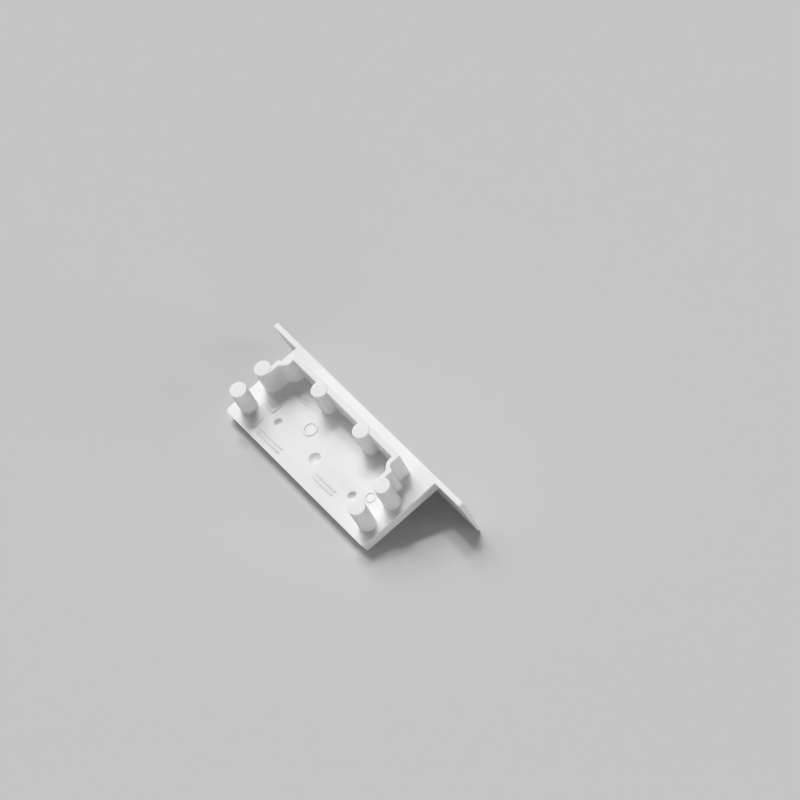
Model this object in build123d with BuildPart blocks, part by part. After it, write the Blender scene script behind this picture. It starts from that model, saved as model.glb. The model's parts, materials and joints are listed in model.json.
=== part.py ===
"""End cap for a flanged aluminium light profile, moulded in one piece.

A drafted end plate carries a tapered flange along its top edge. On the inner side, a thin
fence with two stepped arms locates the cap inside the profile, and six round pegs press into
the profile's screw channels. The cap lies free, as it comes to rest: pegs upwards, on the
plate's lower outer edge and on the flange's tip.

Local frame of the cap ("datum"): x along the cap, y towards the flange's outer face, which is
y = 0, and z along the pegs, with the plate's inner face at z = 0. The row frame has its floor
at Z = 0 and its origin below the middle of the cap. All sizes are in millimetres.
"""
from build123d import *
import os
from math import asin, atan2, cos, hypot, radians, sin, tan

os.makedirs("parts", exist_ok=True)

# End plate
plate_length = 35.0
plate_height = 15.1
plate_thickness = 2.25
plate_draft = 8.0
plate_corner_radius = 0.7
plate_edge_radius = 0.15

# Flange: thick where it meets the plate, thin at its free tip
flange_length = 47.3
flange_depth = 8.2
flange_root_thickness = 0.9
flange_tip_thickness = 0.45
flange_root_corner = 0.6
flange_tip_corner = 0.75
flange_edge_radius = 0.22

# Fence: a straight wall and two arms that step outwards to the high pegs, all of one height
fence_height = 5.1
fence_thickness = 0.9
fence_setback = 2.3
fence_corner_radius = 0.12
fence_edge_radius = 0.1
arm_thickness = 0.8
arm_straight = 0.66
arm_step = 1.14
arm_peg_offset = 1.1
arm_inner_radius = 1.1
arm_inner_angle = 48.0
arm_outer_radius = 0.65
arm_outer_angle = 75.0

# Pegs: two at each end and two against the fence
peg_diameter = 2.7
peg_height = 5.2
peg_tip_chamfer = 0.06
peg_foot_flare = 0.08
peg_side_margin = 2.45
peg_edge_margin = 2.95
peg_fence_gap = 4.11
middle_peg_pitch = 10.5

# Round dimples sunk into the inner face: a small one at each side and the gate's in the middle
dimple_pitch = 9.4
dimple_edge_margin = 4.35
dimple_diameter = 1.4
dimple_depth = 0.6
gate_dimple_diameter = 2.0
gate_dimple_depth = 0.45

# Rest pose: the plate's lower edge is a small round, and the flange's tip a crisp corner
outer_inset = plate_thickness * tan(radians(plate_draft))
rest_run = plate_height - outer_inset - plate_edge_radius - flange_tip_thickness
rest_drop = flange_depth - plate_thickness + plate_edge_radius
rest_tilt = atan2(rest_drop, rest_run) - asin(plate_edge_radius / hypot(rest_run, rest_drop))
datum_height = flange_depth * cos(rest_tilt) + flange_tip_thickness * sin(rest_tilt)

# Feature positions in the local frame
peg_radius = peg_diameter / 2
end_peg_x = plate_length / 2 - peg_side_margin
low_peg_y = -(plate_height - peg_edge_margin)
high_peg_y = -(fence_setback + fence_thickness + peg_fence_gap)
middle_peg_y = -(fence_setback + peg_radius)
arm_tail_x = end_peg_x - arm_peg_offset
arm_x = arm_tail_x - arm_step
arm_bend_y = -(fence_setback + fence_thickness + arm_straight)
fence_length = 2 * arm_x + arm_thickness
dimple_y = -(plate_height - dimple_edge_margin)

# The origin stands below the middle of the cap, between the low pegs' tips and the flange
front_reach = (peg_radius - low_peg_y) * cos(rest_tilt) + (peg_height - peg_tip_chamfer) * sin(rest_tilt)
back_reach = (
    (flange_depth - flange_edge_radius) * sin(rest_tilt)
    - flange_edge_radius * cos(rest_tilt)
    + flange_edge_radius
)
datum = Plane(
    origin=(0, (front_reach - back_reach) / 2, datum_height),
    x_dir=(1, 0, 0),
    z_dir=(0, -sin(rest_tilt), cos(rest_tilt)),
)
section = Plane(origin=datum.origin, x_dir=datum.y_dir, z_dir=datum.x_dir)
along_y = Axis(datum.origin, datum.y_dir)
along_z = Axis(datum.origin, datum.z_dir)

# One peg about its own axis, with a chamfered tip and a flared foot
with BuildPart() as peg:
    with BuildSketch(Plane.XZ):
        with BuildLine():
            Polyline(
                (0, 0),
                (peg_radius + peg_foot_flare, 0),
                (peg_radius, peg_foot_flare),
                (peg_radius, peg_height - peg_tip_chamfer),
                (peg_radius - peg_tip_chamfer, peg_height),
                (0, peg_height),
                close=True,
            )
        make_face()
    revolve(axis=Axis.Z)

with BuildPart(datum) as end_cap:
    # Plate, smaller at its outer face
    with BuildSketch(datum) as plate_outline:
        with Locations((0, -plate_height / 2)):
            Rectangle(plate_length, plate_height)
        fillet(plate_outline.vertices().group_by(Axis.Y)[0], plate_corner_radius)
    extrude(amount=-plate_thickness, taper=plate_draft)
    outer_face = end_cap.faces().sort_by(along_z)[0]
    fillet(outer_face.edges(), plate_edge_radius)

    # Flange, drawn as its section and run along the cap
    with BuildSketch(section):
        with BuildLine():
            Polyline(
                (0, 0),
                (-flange_root_thickness, 0),
                (-flange_tip_thickness, -flange_depth),
                (0, -flange_depth),
                close=True,
            )
        make_face()
    extrude(amount=flange_length / 2, both=True)
    end_edges = end_cap.edges().filter_by(along_y).group_by(Axis.X)
    corner_edges = (end_edges[0] + end_edges[-1]).sort_by(along_z)
    fillet(corner_edges[:2], flange_tip_corner)
    fillet(corner_edges[-2:], flange_root_corner)
    fillet(end_cap.faces().sort_by(along_y)[-1].edges(), flange_edge_radius)

    # Fence and arms
    with BuildSketch(datum) as fence_outline:
        with Locations((0, -fence_setback - fence_thickness / 2)):
            Rectangle(fence_length, fence_thickness)
        with BuildLine():
            for side, bend_radius, bend_angle in (
                (-arm_thickness / 2, arm_inner_radius, arm_inner_angle),
                (arm_thickness / 2, arm_outer_radius, arm_outer_angle),
            ):
                straight = Line((arm_x + side, -fence_setback), (arm_x + side, arm_bend_y))
                bend = JernArc(straight @ 1, straight % 1, bend_radius, bend_angle)
                step = PolarLine(
                    bend @ 1,
                    arm_tail_x + side - (bend @ 1).X,
                    direction=bend % 1,
                    length_mode=LengthMode.HORIZONTAL,
                )
                Line(step @ 1, (arm_tail_x + side, high_peg_y))
            for x, y in ((arm_x, -fence_setback), (arm_tail_x, high_peg_y)):
                Line((x - arm_thickness / 2, y), (x + arm_thickness / 2, y))
        make_face()
        mirror(about=Plane.YZ)
        fence_corners = fence_outline.vertices().group_by(Axis.Y)[-1].sort_by(Axis.X)
        fillet([fence_corners[0], fence_corners[-1]], fence_corner_radius)
    extrude(amount=fence_height)
    fence_top = end_cap.faces().sort_by(along_z)[-1]
    fillet(fence_top.edges(), fence_edge_radius)

    # Pegs
    with Locations(
        (end_peg_x, low_peg_y),
        (end_peg_x, high_peg_y),
        (middle_peg_pitch / 2, middle_peg_y),
        (-middle_peg_pitch / 2, middle_peg_y),
        (-end_peg_x, high_peg_y),
        (-end_peg_x, low_peg_y),
    ):
        add(peg.part)

    # Dimples, each the cap of a ball that stands above the face
    for x, width, depth in (
        (-dimple_pitch, dimple_diameter, dimple_depth),
        (0, gate_dimple_diameter, gate_dimple_depth),
        (dimple_pitch, dimple_diameter, dimple_depth),
    ):
        ball_radius = (width**2 / 4 + depth**2) / (2 * depth)
        with Locations((x, dimple_y, ball_radius - depth)):
            Sphere(ball_radius, mode=Mode.SUBTRACT)

end_cap.part.label = "end_cap"
export_step(end_cap.part, "parts/end_cap.step")
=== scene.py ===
"""Looks for the profile end cap: white moulded plastic, plain marks and a stage.

Every length is in metres, and every place on the inner face is measured from the seat mount.
"""
import json
import math

import bmesh
import bpy
from mathutils import Matrix, Quaternion, Vector


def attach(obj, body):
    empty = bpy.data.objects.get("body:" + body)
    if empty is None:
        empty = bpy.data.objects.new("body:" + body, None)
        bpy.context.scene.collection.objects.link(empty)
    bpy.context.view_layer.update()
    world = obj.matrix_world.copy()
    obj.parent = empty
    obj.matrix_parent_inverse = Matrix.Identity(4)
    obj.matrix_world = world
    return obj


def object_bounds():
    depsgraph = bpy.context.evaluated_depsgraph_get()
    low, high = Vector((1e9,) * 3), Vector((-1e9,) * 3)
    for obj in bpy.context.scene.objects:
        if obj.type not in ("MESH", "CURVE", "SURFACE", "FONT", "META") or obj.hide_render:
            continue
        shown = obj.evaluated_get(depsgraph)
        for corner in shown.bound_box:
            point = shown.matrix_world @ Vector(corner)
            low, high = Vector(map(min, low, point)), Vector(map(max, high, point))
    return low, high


bl_info = {
    "name": "Profile end cap looks",
    "version": (1, 0, 0),
    "blender": (4, 5, 0),
    "location": "View3D > Sidebar > End cap",
    "description": "Finishes a moulded end cap and builds its marks and its stage",
    "category": "Object",
}

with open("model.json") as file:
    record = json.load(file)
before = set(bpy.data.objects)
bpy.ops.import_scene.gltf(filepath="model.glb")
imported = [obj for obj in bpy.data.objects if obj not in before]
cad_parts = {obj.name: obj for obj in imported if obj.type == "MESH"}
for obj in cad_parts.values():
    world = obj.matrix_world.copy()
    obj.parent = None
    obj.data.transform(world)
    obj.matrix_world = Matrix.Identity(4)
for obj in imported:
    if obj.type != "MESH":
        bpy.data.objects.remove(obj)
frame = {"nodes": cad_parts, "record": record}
CAD_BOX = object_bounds()

BODY = "root"
NODE = "end_cap"
MM = 0.001

# Places of the marks on the inner face: x along the cap, y towards the flange
UPPER_ARROW_AT = (-11.95 * MM, 1.9 * MM)
LOWER_ARROW_AT = (-11.8 * MM, -6.0 * MM)
LARGE_RING_AT = (-4.55 * MM, -1.1 * MM)
SMALL_RING_AT = (11.8 * MM, -2.0 * MM)
PAD_AT = (-12.4 * MM, -2.5 * MM)
# Each pair of lines: x and y of its middle, and its length
LINE_PAIRS = (
    (-9.9 * MM, 1.4 * MM, 3.0 * MM),
    (-7.9 * MM, -6.6 * MM, 5.6 * MM),
    (4.6 * MM, -5.5 * MM, 4.8 * MM),
)

# Shapes of the marks, as shares of the line width or of the marks' height
LINE_END_ROUND = 0.3
PAD_FRAME_WIDTH = 0.8
PAD_FIELD_DEPTH = 0.6
RING_SIDES = 64

# How edges and faces are picked: points this close lie in one plane, and a face looks upwards
# when its normal's z is more than this
SAME_PLANE = 1e-7
LOOKS_UP = 0.9
# Edges that turn by more than the first are rounded over, by less than the second shaded smooth
ROUNDED_TURN = math.radians(60)
SMOOTH_TURN = math.radians(35)

# The marks are too thin to hold light of their own, and their tops are a little less glossy
MARK_DEPTH_SHARE = 0.0
MARK_ROUGHNESS_OFFSET = 0.03

# Waves per metre in the plastic's tone: broad drifts, and finer flow drawn out along the cap
DRIFT_SCALE = 150.0
FLOW_SCALE = 900.0
FLOW_STRETCH = (0.12, 1.0, 1.0)
FLOW_ROUGHNESS_SWING = 0.05
IVORY_TINT = (0.78, 0.775, 0.75, 1.0)
PLASTIC_IOR = 1.49

# Lamps of the main light: share of its strength, whether crisp, and their turn and rise as
# shares of the main light's spread and rise
KEY_LAMPS = (
    ("key_light", 0.38, False, 0.0, 0.0),
    ("key_light_side", 0.17, False, 1.0, 0.0),
    ("top_light_front", 0.26, True, 0.5, 1.0),
    ("top_light_back", 0.19, True, -0.5, 1.0),
)

# Low lamps: share of the fill strength, and turn as a share of the fill spread
FILL_LAMPS = (
    ("fill_light", 0.6, 0.0),
    ("fill_light_front", 0.4, 1.0),
)

# Sun lamps shine the same from anywhere, so this only keeps them near the cap
LAMP_DISTANCE = 0.5
FLOOR_SIZE = 8.0
SENSOR_WIDTH = 36.0


# ---------------------------------------------------------------- settings


class PlasticSettings(bpy.types.PropertyGroup):
    """The moulded plastic."""

    colour: bpy.props.FloatVectorProperty(
        name="Colour",
        description="Body colour of the plastic, as linear light",
        subtype="COLOR",
        size=3,
        min=0.0,
        max=1.0,
        default=(0.875, 0.875, 0.872),
    )
    tone_shift: bpy.props.FloatProperty(
        name="Tone shift",
        description="How far the colour drifts between thick and thin flow",
        subtype="FACTOR",
        min=0.0,
        max=1.0,
        default=0.03,
    )
    roughness: bpy.props.FloatProperty(
        name="Roughness",
        description="Mean roughness of the satin surface",
        subtype="FACTOR",
        min=0.0,
        max=1.0,
        default=0.48,
    )
    depth_share: bpy.props.FloatProperty(
        name="Depth share",
        description="Share of the light that passes through the plastic before it comes out",
        subtype="FACTOR",
        min=0.0,
        max=1.0,
        default=1.0,
    )
    depth_reach: bpy.props.FloatProperty(
        name="Depth reach",
        description="How far that light travels inside the plastic",
        unit="LENGTH",
        min=0.0,
        default=0.0005,
    )
    grain_size: bpy.props.FloatProperty(
        name="Grain size",
        description="Width of one pit of the spark-eroded grain",
        unit="LENGTH",
        min=0.00002,
        default=0.00022,
    )
    grain_depth: bpy.props.FloatProperty(
        name="Grain depth",
        description="Depth of the grain",
        unit="LENGTH",
        min=0.0,
        default=0.000006,
    )
    sink_size: bpy.props.FloatProperty(
        name="Sink size",
        description="Width of the shallow waves left as the plastic cools",
        unit="LENGTH",
        min=0.0005,
        default=0.0045,
    )
    sink_depth: bpy.props.FloatProperty(
        name="Sink depth",
        description="Depth of the shallow waves",
        unit="LENGTH",
        min=0.0,
        default=0.00002,
    )


class MarkSettings(bpy.types.PropertyGroup):
    """The plain marks that stand on the inner face."""

    height: bpy.props.FloatProperty(
        name="Height",
        description="How far the marks stand off the inner face",
        unit="LENGTH",
        min=0.0,
        default=0.00009,
    )
    sunk: bpy.props.FloatProperty(
        name="Sunk",
        description="How far the marks reach into the plate",
        unit="LENGTH",
        min=0.0,
        default=0.00004,
    )
    line_width: bpy.props.FloatProperty(
        name="Line width",
        description="Width of a line at its foot",
        unit="LENGTH",
        min=0.00005,
        default=0.00026,
    )
    round_over: bpy.props.FloatProperty(
        name="Round-over",
        description="Bevel along the top edges of a mark",
        unit="LENGTH",
        min=0.0,
        default=0.00004,
    )
    arrow_length: bpy.props.FloatProperty(
        name="Arrow length",
        description="Length of an arrow from tail to point",
        unit="LENGTH",
        min=0.0005,
        default=0.0022,
    )
    arrow_head: bpy.props.FloatProperty(
        name="Arrow head",
        description="Width of an arrow's head",
        unit="LENGTH",
        min=0.0001,
        default=0.00075,
    )
    bar_gap: bpy.props.FloatProperty(
        name="Bar gap",
        description="Distance between the two lines of a pair",
        unit="LENGTH",
        min=0.0001,
        default=0.0007,
    )
    ring_radius: bpy.props.FloatProperty(
        name="Ring radius",
        description="Outer radius of the large ring",
        unit="LENGTH",
        min=0.0003,
        default=0.00118,
    )
    small_ring_radius: bpy.props.FloatProperty(
        name="Small ring radius",
        description="Outer radius of the small ring",
        unit="LENGTH",
        min=0.0003,
        default=0.0009,
    )
    pad_size: bpy.props.FloatVectorProperty(
        name="Pad size",
        description="Length and height of the blank framed pad",
        unit="LENGTH",
        size=2,
        default=(0.0023, 0.0017),
    )


class StageSettings(bpy.types.PropertyGroup):
    """Floor, light and camera."""

    floor_colour: bpy.props.FloatVectorProperty(
        name="Floor colour",
        description="Colour of the floor, as linear light",
        subtype="COLOR",
        size=3,
        min=0.0,
        max=1.0,
        default=(0.665, 0.665, 0.665),
    )
    backdrop_level: bpy.props.FloatProperty(
        name="Backdrop level",
        description="Grey of what lies beyond the floor",
        min=0.0,
        max=1.0,
        default=0.565,
    )
    sky_top: bpy.props.FloatProperty(
        name="Sky top",
        description="Strength of the light from straight above",
        min=0.0,
        default=0.02,
    )
    sky_side: bpy.props.FloatProperty(
        name="Sky side",
        description="Strength of the light from the horizon",
        min=0.0,
        default=0.02,
    )
    key_strength: bpy.props.FloatProperty(
        name="Key strength",
        description="Strength of the four lamps of the main light together",
        min=0.0,
        default=2.8,
    )
    key_azimuth: bpy.props.FloatProperty(
        name="Key azimuth",
        description="Where the main light stands, turned from the X axis",
        subtype="ANGLE",
        unit="ROTATION",
        default=math.radians(180),
    )
    key_elevation: bpy.props.FloatProperty(
        name="Key elevation",
        description="Height of the main light above the floor",
        subtype="ANGLE",
        unit="ROTATION",
        default=math.radians(45),
    )
    key_spread: bpy.props.FloatProperty(
        name="Key spread",
        description="How far round from the main lamp its side lamp stands",
        subtype="ANGLE",
        unit="ROTATION",
        default=math.radians(30),
    )
    key_rise: bpy.props.FloatProperty(
        name="Key rise",
        description="How far above the main lamp its two crisp top lamps stand",
        subtype="ANGLE",
        unit="ROTATION",
        default=math.radians(20),
    )
    fill_strength: bpy.props.FloatProperty(
        name="Fill strength",
        description="Strength of the two low lamps that open up the shaded sides, together",
        min=0.0,
        default=1.0,
    )
    fill_azimuth: bpy.props.FloatProperty(
        name="Fill azimuth",
        description="Where the stronger low lamp stands, turned from the X axis",
        subtype="ANGLE",
        unit="ROTATION",
        default=math.radians(30),
    )
    fill_spread: bpy.props.FloatProperty(
        name="Fill spread",
        description="How far round from the stronger low lamp the other one stands",
        subtype="ANGLE",
        unit="ROTATION",
        default=math.radians(-60),
    )
    fill_elevation: bpy.props.FloatProperty(
        name="Fill elevation",
        description="Height of the low lamps above the floor",
        subtype="ANGLE",
        unit="ROTATION",
        default=math.radians(20),
    )
    lamp_softness: bpy.props.FloatProperty(
        name="Lamp softness",
        description="Angle that a soft lamp takes up in the sky",
        subtype="ANGLE",
        unit="ROTATION",
        default=math.radians(30),
    )
    top_softness: bpy.props.FloatProperty(
        name="Top softness",
        description="Angle that a crisp top lamp takes up in the sky",
        subtype="ANGLE",
        unit="ROTATION",
        default=math.radians(8),
    )
    view_azimuth: bpy.props.FloatProperty(
        name="View azimuth",
        description="Camera's place round the cap: 0 is in front, 90 is at the right end",
        subtype="ANGLE",
        unit="ROTATION",
        default=math.radians(53.37),
    )
    view_elevation: bpy.props.FloatProperty(
        name="View elevation",
        description="Camera's height above the floor",
        subtype="ANGLE",
        unit="ROTATION",
        default=math.radians(44.81),
    )
    view_roll: bpy.props.FloatProperty(
        name="View roll",
        description="Turn of the camera about its own line of sight",
        subtype="ANGLE",
        unit="ROTATION",
        default=math.radians(0.47),
    )
    view_distance: bpy.props.FloatProperty(
        name="View distance",
        description="From the camera to the point on the floor that it looks at",
        unit="LENGTH",
        default=0.7702,
    )
    view_aim: bpy.props.FloatVectorProperty(
        name="View aim",
        description="Point on the floor that the camera looks at",
        subtype="TRANSLATION",
        unit="LENGTH",
        size=3,
        default=(-0.00539, 0.01539, 0.0),
    )
    lens: bpy.props.FloatProperty(
        name="Lens",
        description="Focal length in millimetres",
        min=10.0,
        default=229.75,
    )


# ---------------------------------------------------------------- shared helpers


def deselect_all():
    """Leaves edit mode and clears the selection, so that an operator acts on new work only."""
    if bpy.context.mode != "OBJECT":
        bpy.ops.object.mode_set(mode="OBJECT")
    bpy.ops.object.select_all(action="DESELECT")


def inner_face():
    """Matrix from the inner face (x along the cap, y towards the flange, z out) to the row."""
    seat = next(m for m in frame["record"]["mounts"] if m["name"] == "seat")
    out = Vector(seat["axis"]).normalized()
    along = Vector((1, 0, 0))
    turn = Matrix((along, out.cross(along), out)).transposed().to_4x4()
    return Matrix.Translation(Vector(seat["pos_m"])) @ turn


def select_where(obj, kind, test):
    """In edit mode, selects only the vertices, edges or faces that pass the test."""
    bpy.ops.mesh.select_mode(type={"verts": "VERT", "edges": "EDGE", "faces": "FACE"}[kind])
    bpy.ops.mesh.select_all(action="DESELECT")
    shape = bmesh.from_edit_mesh(obj.data)
    for part in getattr(shape, kind):
        if test(part):
            part.select_set(True)
    shape.select_flush_mode()
    bmesh.update_edit_mesh(obj.data)


def raise_flat_shape(obj, marks):
    """Gives a flat outline in edit mode its height, rounds its top edges and leaves edit mode."""
    total = marks.height + marks.sunk
    bpy.ops.mesh.select_mode(type="FACE")
    bpy.ops.mesh.select_all(action="SELECT")
    bpy.ops.mesh.extrude_region_move(TRANSFORM_OT_translate={"value": (0, 0, total)})
    bpy.ops.mesh.select_all(action="SELECT")
    bpy.ops.mesh.normals_make_consistent(inside=False)
    top = total - SAME_PLANE
    select_where(
        obj,
        "edges",
        lambda e: all(v.co.z > top for v in e.verts) and e.calc_face_angle(0) > ROUNDED_TURN,
    )
    bpy.ops.mesh.bevel(offset=marks.round_over, segments=2, affect="EDGES")
    bpy.ops.mesh.select_all(action="SELECT")
    bpy.ops.transform.translate(value=(0, 0, -marks.sunk))
    bpy.ops.object.mode_set(mode="OBJECT")
    bpy.ops.object.shade_smooth_by_angle(angle=SMOOTH_TURN)


def place(obj, x, y, turn=0.0):
    """Puts a mark at a place on the inner face, and applies that to its mesh."""
    deselect_all()
    obj.select_set(True)
    bpy.context.view_layer.objects.active = obj
    spin = Matrix.Rotation(turn, 4, "Z")
    obj.matrix_world = inner_face() @ Matrix.Translation((x, y, 0)) @ spin
    bpy.ops.object.transform_apply(location=True, rotation=True, scale=True)


def copy_of(obj):
    """A copy of a mark, with its own mesh."""
    deselect_all()
    obj.select_set(True)
    bpy.context.view_layer.objects.active = obj
    bpy.ops.object.duplicate(linked=False)
    return bpy.context.object


def join(objs, name):
    """Makes one piece of several marks, and names it."""
    deselect_all()
    for obj in objs:
        obj.select_set(True)
    bpy.context.view_layer.objects.active = objs[0]
    if len(objs) > 1:
        bpy.ops.object.join()
    piece = bpy.context.object
    piece.name = name
    piece.data.name = name
    return piece


def finish_marks(shapes, name, material_name):
    """Joins like marks into one piece and gives it the plastic as it looks on thin trim."""
    piece = join(shapes, name)
    plastic = moulded_plastic(material_name, MARK_DEPTH_SHARE, MARK_ROUGHNESS_OFFSET)
    piece.data.materials.clear()
    piece.data.materials.append(plastic)
    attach(piece, BODY)


# ---------------------------------------------------------------- material


def socket(tree, name, in_out, kind, default=None):
    """Adds a named input or output to a node group."""
    made = tree.interface.new_socket(name=name, in_out=in_out, socket_type=kind)
    if default is not None:
        made.default_value = default


def node(tree, kind, place_at, **values):
    """Adds a node at a place in the tree, and sets its properties."""
    made = tree.nodes.new(kind)
    made.location = place_at
    for name, value in values.items():
        setattr(made, name, value)
    return made


def flow_tone_group():
    """Colour and roughness of moulded plastic: slow drifts of tone, and faint flow lines."""
    found = bpy.data.node_groups.get("Flow tone")
    if found:
        return found
    tree = bpy.data.node_groups.new("Flow tone", "ShaderNodeTree")
    socket(tree, "Colour", "INPUT", "NodeSocketColor", (0.8, 0.8, 0.8, 1.0))
    socket(tree, "Tone Shift", "INPUT", "NodeSocketFloat", 0.03)
    socket(tree, "Roughness", "INPUT", "NodeSocketFloat", 0.5)
    socket(tree, "Colour", "OUTPUT", "NodeSocketColor")
    socket(tree, "Roughness", "OUTPUT", "NodeSocketFloat")
    given = node(tree, "NodeGroupInput", (-900, 0))
    out = node(tree, "NodeGroupOutput", (700, 0))
    where = node(tree, "ShaderNodeTexCoord", (-900, -260))

    drift = node(tree, "ShaderNodeTexNoise", (-500, 200))
    drift.inputs["Scale"].default_value = DRIFT_SCALE
    drift.inputs["Detail"].default_value = 3.0
    stretch = node(tree, "ShaderNodeMapping", (-700, -260))
    stretch.inputs["Scale"].default_value = FLOW_STRETCH
    flow = node(tree, "ShaderNodeTexNoise", (-500, -160))
    flow.inputs["Scale"].default_value = FLOW_SCALE
    flow.inputs["Detail"].default_value = 4.0
    flow.inputs["Distortion"].default_value = 0.6
    tree.links.new(where.outputs["Object"], drift.inputs["Vector"])
    tree.links.new(where.outputs["Object"], stretch.inputs["Vector"])
    tree.links.new(stretch.outputs["Vector"], flow.inputs["Vector"])

    # Two noises of mean 0.5 add up to about 1, and only their swing about that is used
    both = node(tree, "ShaderNodeMath", (-280, 120), operation="ADD")
    tree.links.new(drift.outputs["Fac"], both.inputs[0])
    tree.links.new(flow.outputs["Fac"], both.inputs[1])
    depth = node(tree, "ShaderNodeMapRange", (-100, 120))
    depth.inputs["From Min"].default_value = 0.7
    depth.inputs["From Max"].default_value = 1.3
    tree.links.new(both.outputs[0], depth.inputs["Value"])
    amount = node(tree, "ShaderNodeMath", (80, 120), operation="MULTIPLY")
    tree.links.new(depth.outputs["Result"], amount.inputs[0])
    tree.links.new(given.outputs["Tone Shift"], amount.inputs[1])
    ivory = node(tree, "ShaderNodeMix", (80, 380), data_type="RGBA", blend_type="MULTIPLY")
    ivory.inputs["Factor"].default_value = 1.0
    ivory.inputs["B"].default_value = IVORY_TINT
    tree.links.new(given.outputs["Colour"], ivory.inputs["A"])
    tone = node(tree, "ShaderNodeMix", (300, 260), data_type="RGBA")
    tree.links.new(amount.outputs[0], tone.inputs["Factor"])
    tree.links.new(given.outputs["Colour"], tone.inputs["A"])
    tree.links.new(ivory.outputs["Result"], tone.inputs["B"])
    tree.links.new(tone.outputs["Result"], out.inputs["Colour"])

    gloss = node(tree, "ShaderNodeMapRange", (-100, -160))
    gloss.inputs["From Min"].default_value = 0.3
    gloss.inputs["From Max"].default_value = 0.7
    gloss.inputs["To Min"].default_value = -FLOW_ROUGHNESS_SWING
    gloss.inputs["To Max"].default_value = FLOW_ROUGHNESS_SWING
    tree.links.new(flow.outputs["Fac"], gloss.inputs["Value"])
    rough = node(tree, "ShaderNodeMath", (300, -100), operation="ADD")
    tree.links.new(given.outputs["Roughness"], rough.inputs[0])
    tree.links.new(gloss.outputs["Result"], rough.inputs[1])
    tree.links.new(rough.outputs[0], out.inputs["Roughness"])
    return tree


def mould_grain_group():
    """Height of the moulded surface in metres: fine eroded grain over shallow sink waves."""
    found = bpy.data.node_groups.get("Mould grain")
    if found:
        return found
    tree = bpy.data.node_groups.new("Mould grain", "ShaderNodeTree")
    socket(tree, "Grain Size", "INPUT", "NodeSocketFloat", 0.0002)
    socket(tree, "Grain Depth", "INPUT", "NodeSocketFloat", 0.000005)
    socket(tree, "Sink Size", "INPUT", "NodeSocketFloat", 0.004)
    socket(tree, "Sink Depth", "INPUT", "NodeSocketFloat", 0.00002)
    socket(tree, "Height", "OUTPUT", "NodeSocketFloat")
    given = node(tree, "NodeGroupInput", (-900, 0))
    out = node(tree, "NodeGroupOutput", (500, 0))
    where = node(tree, "ShaderNodeTexCoord", (-900, -260))
    heights = []
    for size, depth, detail, row in (
        ("Grain Size", "Grain Depth", 2.0, 160),
        ("Sink Size", "Sink Depth", 1.0, -160),
    ):
        scale = node(tree, "ShaderNodeMath", (-600, row), operation="DIVIDE")
        scale.inputs[0].default_value = 1.0
        tree.links.new(given.outputs[size], scale.inputs[1])
        bumps = node(tree, "ShaderNodeTexNoise", (-380, row))
        bumps.inputs["Detail"].default_value = detail
        tree.links.new(where.outputs["Object"], bumps.inputs["Vector"])
        tree.links.new(scale.outputs[0], bumps.inputs["Scale"])
        height = node(tree, "ShaderNodeMath", (-120, row), operation="MULTIPLY")
        tree.links.new(bumps.outputs["Fac"], height.inputs[0])
        tree.links.new(given.outputs[depth], height.inputs[1])
        heights.append(height)
    total = node(tree, "ShaderNodeMath", (200, 0), operation="ADD")
    tree.links.new(heights[0].outputs[0], total.inputs[0])
    tree.links.new(heights[1].outputs[0], total.inputs[1])
    tree.links.new(total.outputs[0], out.inputs["Height"])
    return tree


def moulded_plastic(name, depth_share, roughness_offset=0.0):
    """Satin white plastic, as it leaves the mould."""
    plastic = bpy.context.scene.cap_plastic
    material = bpy.data.materials.new(name)
    material.use_nodes = True
    tree = material.node_tree
    shader = tree.nodes["Principled BSDF"]
    shader.inputs["IOR"].default_value = PLASTIC_IOR
    shader.inputs["Subsurface Weight"].default_value = depth_share
    shader.inputs["Subsurface Radius"].default_value = (1.0, 1.0, 1.0)
    shader.inputs["Subsurface Scale"].default_value = plastic.depth_reach
    tone = node(tree, "ShaderNodeGroup", (-500, 200), node_tree=flow_tone_group())
    tone.inputs["Colour"].default_value = (*plastic.colour, 1.0)
    tone.inputs["Tone Shift"].default_value = plastic.tone_shift
    tone.inputs["Roughness"].default_value = plastic.roughness + roughness_offset
    tree.links.new(tone.outputs["Colour"], shader.inputs["Base Color"])
    tree.links.new(tone.outputs["Roughness"], shader.inputs["Roughness"])
    grain = node(tree, "ShaderNodeGroup", (-700, -200), node_tree=mould_grain_group())
    grain.inputs["Grain Size"].default_value = plastic.grain_size
    grain.inputs["Grain Depth"].default_value = plastic.grain_depth
    grain.inputs["Sink Size"].default_value = plastic.sink_size
    grain.inputs["Sink Depth"].default_value = plastic.sink_depth
    bump = node(tree, "ShaderNodeBump", (-300, -200))
    bump.inputs["Strength"].default_value = 1.0
    bump.inputs["Distance"].default_value = 1.0
    tree.links.new(grain.outputs["Height"], bump.inputs["Height"])
    tree.links.new(bump.outputs["Normal"], shader.inputs["Normal"])
    return material


# ---------------------------------------------------------------- operators


class ENDCAP_OT_finish_plastic(bpy.types.Operator):
    """Give the moulded cap its satin white plastic"""

    bl_idname = "endcap.finish_plastic"
    bl_label = "Finish the cap"

    def execute(self, context):
        cap = frame["nodes"][NODE]
        material = moulded_plastic("white_plastic_satin", context.scene.cap_plastic.depth_share)
        for slot in cap.material_slots:
            slot.material = material
        return {"FINISHED"}


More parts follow.
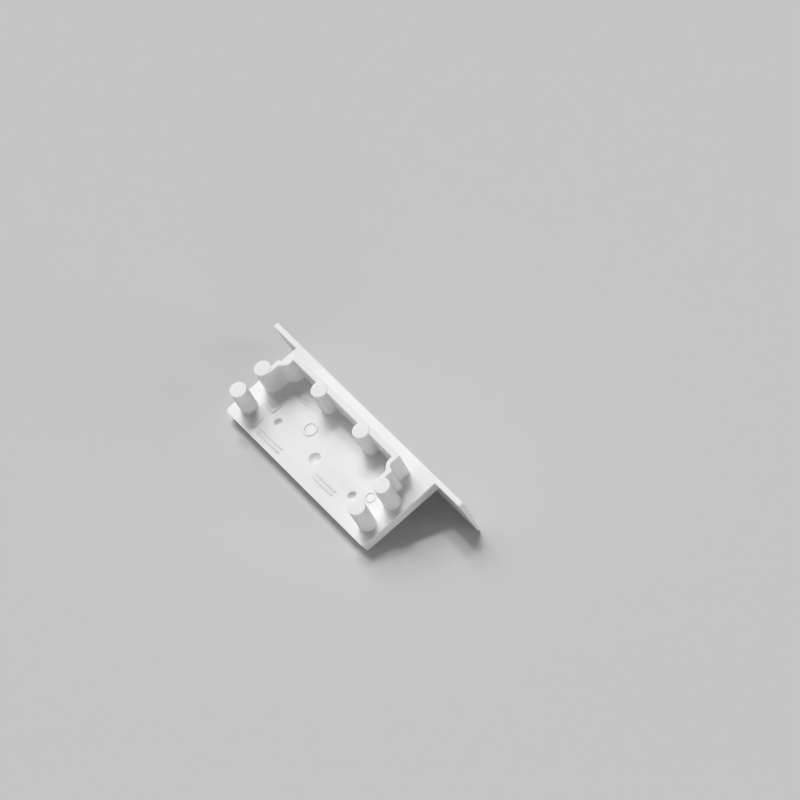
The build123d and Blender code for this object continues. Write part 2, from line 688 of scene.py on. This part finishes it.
class ENDCAP_OT_add_arrows(bpy.types.Operator):
    """Model the two plain arrows that point to the cap's upper and lower edge"""

    bl_idname = "endcap.add_arrows"
    bl_label = "Arrows"

    def execute(self, context):
        marks = context.scene.cap_marks
        deselect_all()
        bpy.ops.mesh.primitive_plane_add(size=1)
        arrow = context.object
        bpy.ops.object.mode_set(mode="EDIT")
        head = marks.arrow_head
        shaft = marks.arrow_length - head
        point = marks.line_width / 2
        bpy.ops.transform.resize(value=(marks.line_width, shaft, 1))
        bpy.ops.transform.translate(value=(0, -head / 2, 0))
        end = shaft / 2 - head / 2
        select_where(arrow, "edges", lambda e: all(v.co.y > end - SAME_PLANE for v in e.verts))
        bpy.ops.mesh.extrude_edges_move(TRANSFORM_OT_translate={"value": (0, 0, 0)})
        bpy.ops.transform.resize(value=(head / marks.line_width, 1, 1))
        bpy.ops.mesh.extrude_edges_move(TRANSFORM_OT_translate={"value": (0, head, 0)})
        bpy.ops.transform.resize(value=(point / head, 1, 1))
        raise_flat_shape(arrow, marks)
        second = copy_of(arrow)
        place(arrow, *UPPER_ARROW_AT)
        place(second, *LOWER_ARROW_AT, math.pi)
        finish_marks([arrow, second], "arrow_marks", "white_plastic_arrows")
        return {"FINISHED"}


class ENDCAP_OT_add_bars(bpy.types.Operator):
    """Model the pairs of fine plain lines beside the arrows and near the low edge"""

    bl_idname = "endcap.add_bars"
    bl_label = "Line pairs"

    def line(self, context, length):
        """One line along the cap, with rounded ends."""
        marks = context.scene.cap_marks
        deselect_all()
        bpy.ops.mesh.primitive_plane_add(size=1)
        bar = context.object
        bpy.ops.object.mode_set(mode="EDIT")
        bpy.ops.transform.resize(value=(length, marks.line_width, 1))
        end_round = marks.line_width * LINE_END_ROUND
        bpy.ops.mesh.bevel(offset=end_round, segments=3, affect="VERTICES")
        raise_flat_shape(bar, marks)
        return bar

    def execute(self, context):
        marks = context.scene.cap_marks
        lines = []
        for x, y, length in LINE_PAIRS:
            upper = self.line(context, length)
            lower = copy_of(upper)
            place(upper, x, y + marks.bar_gap / 2)
            place(lower, x, y - marks.bar_gap / 2)
            lines += [upper, lower]
        finish_marks(lines, "line_marks", "white_plastic_lines")
        return {"FINISHED"}


class ENDCAP_OT_add_rings(bpy.types.Operator):
    """Model the plain raised rings on the inner face"""

    bl_idname = "endcap.add_rings"
    bl_label = "Rings"

    def ring(self, context, radius):
        """One ring, a line wide."""
        marks = context.scene.cap_marks
        deselect_all()
        bpy.ops.mesh.primitive_circle_add(vertices=RING_SIDES, radius=radius, fill_type="NGON")
        made = context.object
        bpy.ops.object.mode_set(mode="EDIT")
        bpy.ops.mesh.select_mode(type="FACE")
        bpy.ops.mesh.select_all(action="SELECT")
        bpy.ops.mesh.inset(thickness=marks.line_width)
        bpy.ops.mesh.delete(type="FACE")
        raise_flat_shape(made, marks)
        return made

    def execute(self, context):
        marks = context.scene.cap_marks
        large = self.ring(context, marks.ring_radius)
        small = self.ring(context, marks.small_ring_radius)
        place(large, *LARGE_RING_AT)
        place(small, *SMALL_RING_AT)
        finish_marks([large, small], "ring_marks", "white_plastic_rings")
        return {"FINISHED"}


class ENDCAP_OT_add_pad(bpy.types.Operator):
    """Model the blank framed pad by the high peg"""

    bl_idname = "endcap.add_pad"
    bl_label = "Blank pad"

    def execute(self, context):
        marks = context.scene.cap_marks
        deselect_all()
        bpy.ops.mesh.primitive_plane_add(size=1)
        pad = context.object
        bpy.ops.object.mode_set(mode="EDIT")
        bpy.ops.transform.resize(value=(marks.pad_size[0], marks.pad_size[1], 1))
        bpy.ops.mesh.bevel(offset=marks.line_width, segments=5, affect="VERTICES")
        raise_flat_shape(pad, marks)
        bpy.ops.object.mode_set(mode="EDIT")
        top = marks.height - SAME_PLANE
        select_where(
            pad,
            "faces",
            lambda f: f.normal.z > LOOKS_UP and all(v.co.z > top for v in f.verts),
        )
        bpy.ops.mesh.inset(thickness=marks.line_width * PAD_FRAME_WIDTH)
        bpy.ops.transform.translate(value=(0, 0, -marks.height * PAD_FIELD_DEPTH))
        bpy.ops.object.mode_set(mode="OBJECT")
        place(pad, *PAD_AT)
        finish_marks([pad], "blank_pad", "white_plastic_pad")
        return {"FINISHED"}


class ENDCAP_OT_build_stage(bpy.types.Operator):
    """Build the floor, the light and the camera"""

    bl_idname = "endcap.build_stage"
    bl_label = "Stage"

    def floor(self, stage):
        """A plain matt floor at the height of the cap's lowest point."""
        deselect_all()
        low = CAD_BOX[0].z
        bpy.ops.mesh.primitive_plane_add(size=FLOOR_SIZE, location=(0, 0, low))
        floor = bpy.context.object
        bpy.ops.object.transform_apply(location=True, rotation=True, scale=True)
        floor.name = "floor"
        paint = bpy.data.materials.new("floor_paint")
        paint.use_nodes = True
        tree = paint.node_tree
        shader = tree.nodes["Principled BSDF"]
        shader.inputs["Base Color"].default_value = (*stage.floor_colour, 1.0)
        shader.inputs["Roughness"].default_value = 1.0
        shader.inputs["Specular IOR Level"].default_value = 0.0
        floor.data.materials.append(paint)

    def sky(self, stage):
        """A faint light on the cap, and a plain grey for whatever sees past the floor."""
        world = bpy.data.worlds.new("studio")
        bpy.context.scene.world = world
        world.use_nodes = True
        tree = world.node_tree
        tree.nodes.clear()
        where = node(tree, "ShaderNodeTexCoord", (-900, 0))
        split = node(tree, "ShaderNodeSeparateXYZ", (-700, 0))
        tree.links.new(where.outputs["Generated"], split.inputs[0])
        rise = node(tree, "ShaderNodeMapRange", (-500, 0))
        rise.inputs["To Min"].default_value = stage.sky_side
        rise.inputs["To Max"].default_value = stage.sky_top
        tree.links.new(split.outputs["Z"], rise.inputs["Value"])
        light = node(tree, "ShaderNodeBackground", (-250, 0))
        tree.links.new(rise.outputs["Result"], light.inputs["Strength"])
        backdrop = node(tree, "ShaderNodeBackground", (-250, -160))
        backdrop.inputs["Strength"].default_value = stage.backdrop_level
        for lamp in (light, backdrop):
            lamp.inputs["Color"].default_value = (1, 1, 1, 1)
        path = node(tree, "ShaderNodeLightPath", (-900, 400))
        straight = node(tree, "ShaderNodeMath", (-680, 300), operation="MAXIMUM")
        tree.links.new(path.outputs["Is Camera Ray"], straight.inputs[0])
        tree.links.new(path.outputs["Is Transmission Ray"], straight.inputs[1])
        seen = node(tree, "ShaderNodeMath", (-450, 300), operation="MAXIMUM")
        tree.links.new(straight.outputs[0], seen.inputs[0])
        tree.links.new(path.outputs["Is Glossy Ray"], seen.inputs[1])
        choose = node(tree, "ShaderNodeMixShader", (0, 0))
        tree.links.new(seen.outputs[0], choose.inputs[0])
        tree.links.new(light.outputs[0], choose.inputs[1])
        tree.links.new(backdrop.outputs[0], choose.inputs[2])
        out = node(tree, "ShaderNodeOutputWorld", (220, 0))
        tree.links.new(choose.outputs[0], out.inputs["Surface"])

    def lamp(self, name, strength, softness, azimuth, elevation):
        """A sun lamp that stands at these angles and shines on the origin."""
        deselect_all()
        bpy.ops.object.light_add(type="SUN")
        lamp = bpy.context.object
        lamp.name = name
        lamp.data.energy = strength
        lamp.data.angle = softness
        flat = math.cos(elevation)
        towards = Vector(
            (flat * math.cos(azimuth), flat * math.sin(azimuth), math.sin(elevation))
        )
        lamp.location = towards * LAMP_DISTANCE
        lamp.rotation_euler = towards.to_track_quat("Z", "Y").to_euler()

    def camera(self, stage):
        """The camera, set by its angles round the point that it looks at."""
        bpy.ops.object.camera_add()
        camera = bpy.context.object
        camera.name = "camera"
        camera.data.lens = stage.lens
        camera.data.sensor_width = SENSOR_WIDTH
        camera.data.clip_start = 0.01
        camera.data.clip_end = 50.0
        flat = math.cos(stage.view_elevation)
        back = Vector(
            (
                math.sin(stage.view_azimuth) * flat,
                -math.cos(stage.view_azimuth) * flat,
                math.sin(stage.view_elevation),
            )
        )
        camera.location = Vector(stage.view_aim) + back * stage.view_distance
        level = back.to_track_quat("Z", "Y")
        camera.rotation_euler = (level @ Quaternion((0, 0, 1), stage.view_roll)).to_euler()
        bpy.context.scene.camera = camera

    def execute(self, context):
        stage = context.scene.cap_stage
        self.floor(stage)
        self.sky(stage)
        for name, share, crisp, turn, rise in KEY_LAMPS:
            self.lamp(
                name,
                stage.key_strength * share,
                stage.top_softness if crisp else stage.lamp_softness,
                stage.key_azimuth + turn * stage.key_spread,
                stage.key_elevation + rise * stage.key_rise,
            )
        for name, share, turn in FILL_LAMPS:
            self.lamp(
                name,
                stage.fill_strength * share,
                stage.lamp_softness,
                stage.fill_azimuth + turn * stage.fill_spread,
                stage.fill_elevation,
            )
        self.camera(stage)
        context.scene.view_settings.view_transform = "Standard"
        return {"FINISHED"}


class ENDCAP_PT_panel(bpy.types.Panel):
    """Lists the steps that build the looks of the end cap"""

    bl_idname = "ENDCAP_PT_panel"
    bl_label = "Profile end cap"
    bl_space_type = "VIEW_3D"
    bl_region_type = "UI"
    bl_category = "End cap"

    def draw(self, context):
        for operator in OPERATORS:
            self.layout.operator(operator.bl_idname)
        for group in ("cap_plastic", "cap_marks", "cap_stage"):
            settings = getattr(context.scene, group)
            box = self.layout.box()
            for name in settings.__annotations__:
                box.prop(settings, name)


SETTINGS = {
    "cap_plastic": PlasticSettings,
    "cap_marks": MarkSettings,
    "cap_stage": StageSettings,
}
OPERATORS = (
    ENDCAP_OT_finish_plastic,
    ENDCAP_OT_add_arrows,
    ENDCAP_OT_add_bars,
    ENDCAP_OT_add_rings,
    ENDCAP_OT_add_pad,
    ENDCAP_OT_build_stage,
)
CLASSES = (*SETTINGS.values(), *OPERATORS, ENDCAP_PT_panel)


def register():
    for cls in CLASSES:
        bpy.utils.register_class(cls)
    for name, group in SETTINGS.items():
        setattr(bpy.types.Scene, name, bpy.props.PointerProperty(type=group))


def unregister():
    for name in SETTINGS:
        delattr(bpy.types.Scene, name)
    for cls in reversed(CLASSES):
        bpy.utils.unregister_class(cls)


def main():
    register()
    deselect_all()
    bpy.ops.endcap.finish_plastic()
    bpy.ops.endcap.add_arrows()
    bpy.ops.endcap.add_bars()
    bpy.ops.endcap.add_rings()
    bpy.ops.endcap.add_pad()
    bpy.ops.endcap.build_stage()
    deselect_all()


if __name__ == "__main__":
    main()
